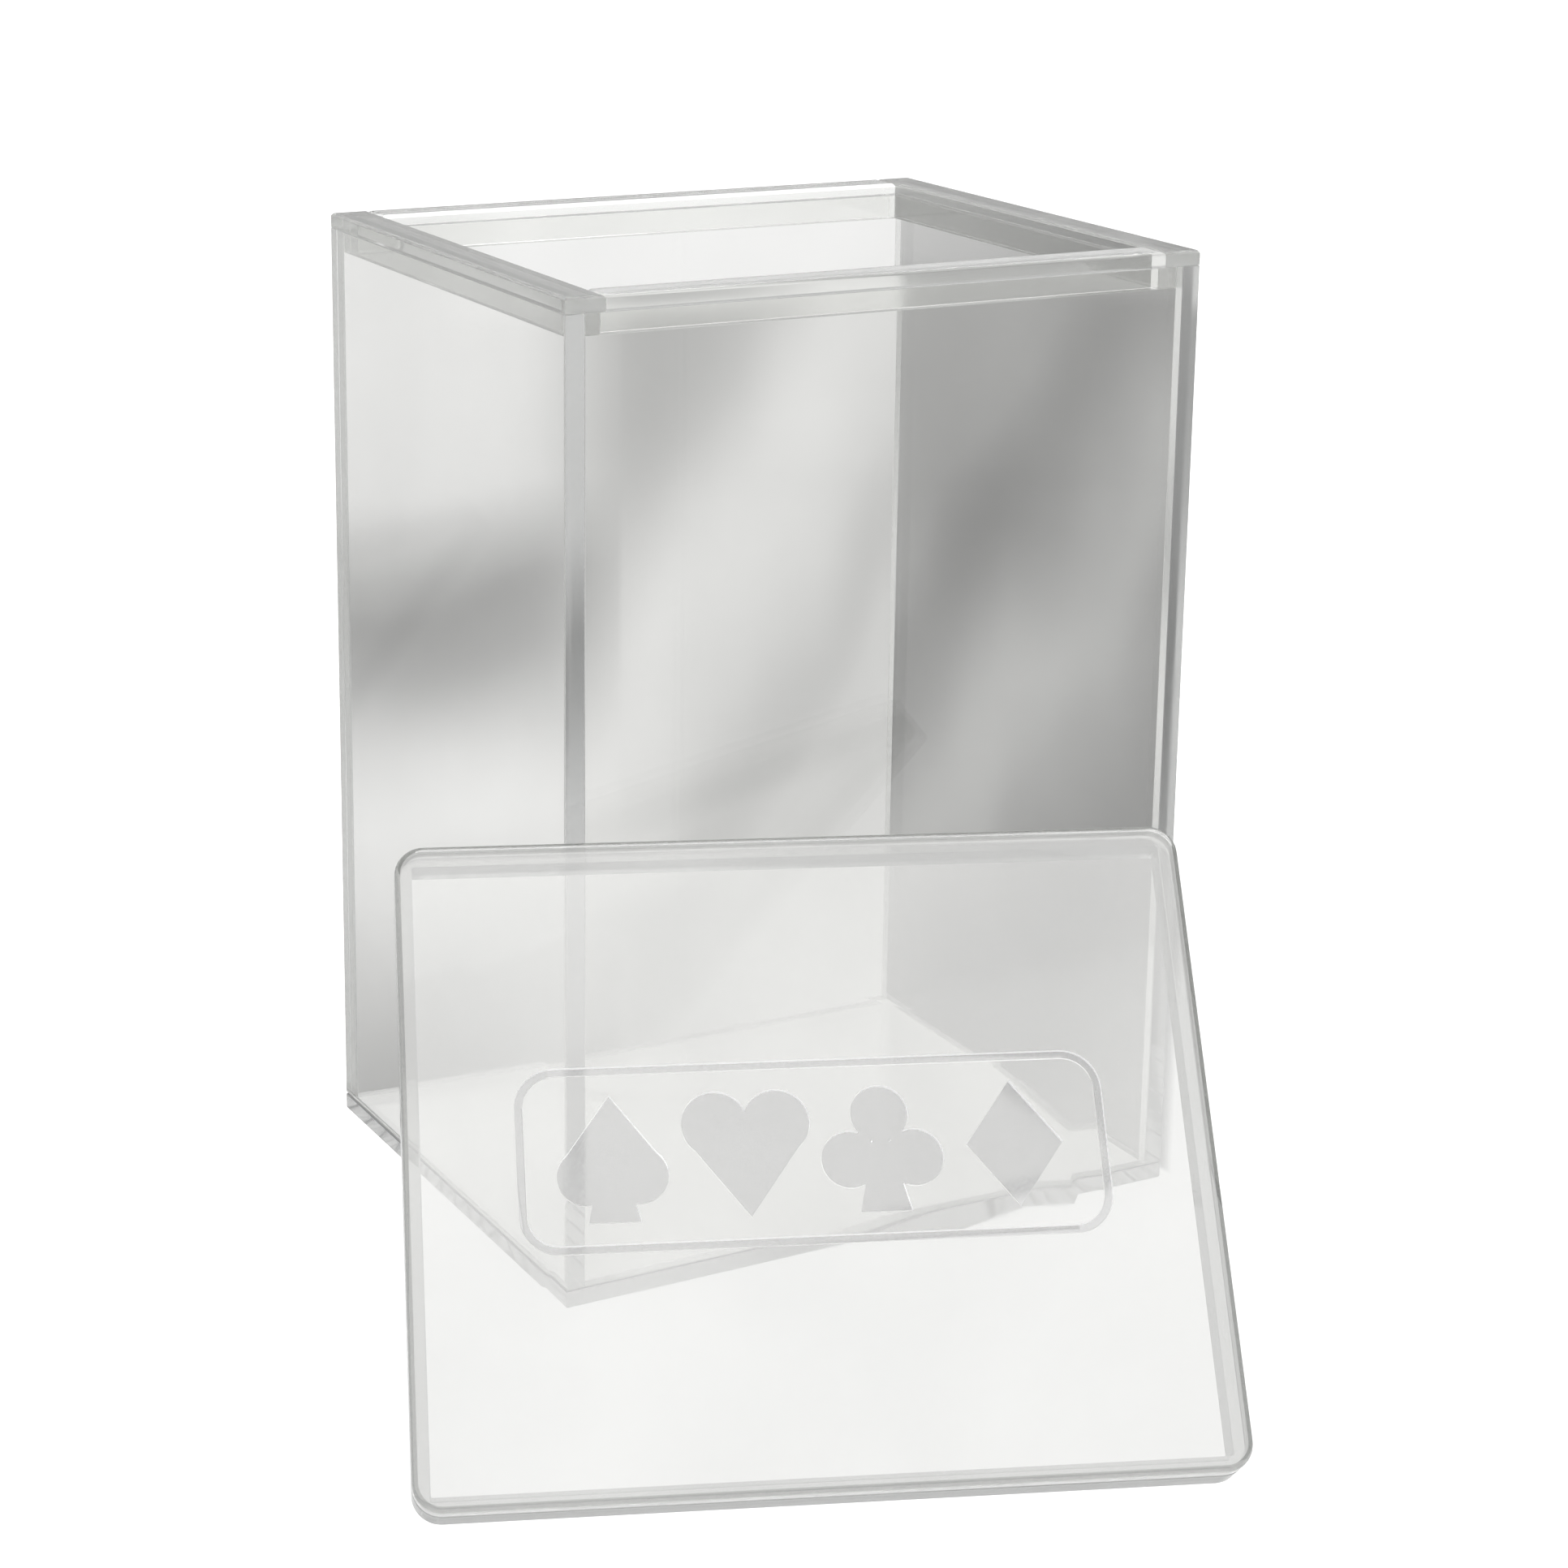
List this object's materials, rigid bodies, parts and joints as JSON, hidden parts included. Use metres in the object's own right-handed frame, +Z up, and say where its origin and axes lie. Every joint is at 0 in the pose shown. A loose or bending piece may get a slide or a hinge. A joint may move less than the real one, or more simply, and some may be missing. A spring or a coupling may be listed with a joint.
{
  "type": "card deck box",
  "caption": "Clear acrylic card deck box, tall and open-topped, with a stepped collar round its mouth and a loose slip-over lid leaning against it.",
  "frame": {"origin": "centre of the underside of the box's base sheet, on the surface that it stands on", "axes": "+Z up; -Y is the box's front, the side that the lid leans at; +X is to the right as seen from the front, along the box's width"},
  "size_m": [0.1118, 0.1312, 0.1118],
  "materials": {
    "clear_sheet": "polished clear acrylic sheet",
    "collar_strip": "clear acrylic strip with sawn and flame-polished edges",
    "lid_sheet": "polished clear acrylic with a frosted engraving",
    "lid_frame": "polished clear acrylic with rounded edges"
  },
  "bodies": {
    "box": {"floor_panel": "clear_sheet", "front_panel": "clear_sheet", "back_panel": "clear_sheet", "left_panel": "clear_sheet", "right_panel": "clear_sheet", "front_collar": "collar_strip", "back_collar": "collar_strip", "left_collar": "collar_strip", "right_collar": "collar_strip"},
    "lid": {"lid_plate": "lid_sheet", "lid_rim": "lid_frame"}
  },
  "joints": [
    {"name": "lid_lift", "type": "slide", "parent": "box", "child": "lid", "axis": [0, 0, 1], "range_m": [0, 0.12]}
  ]
}
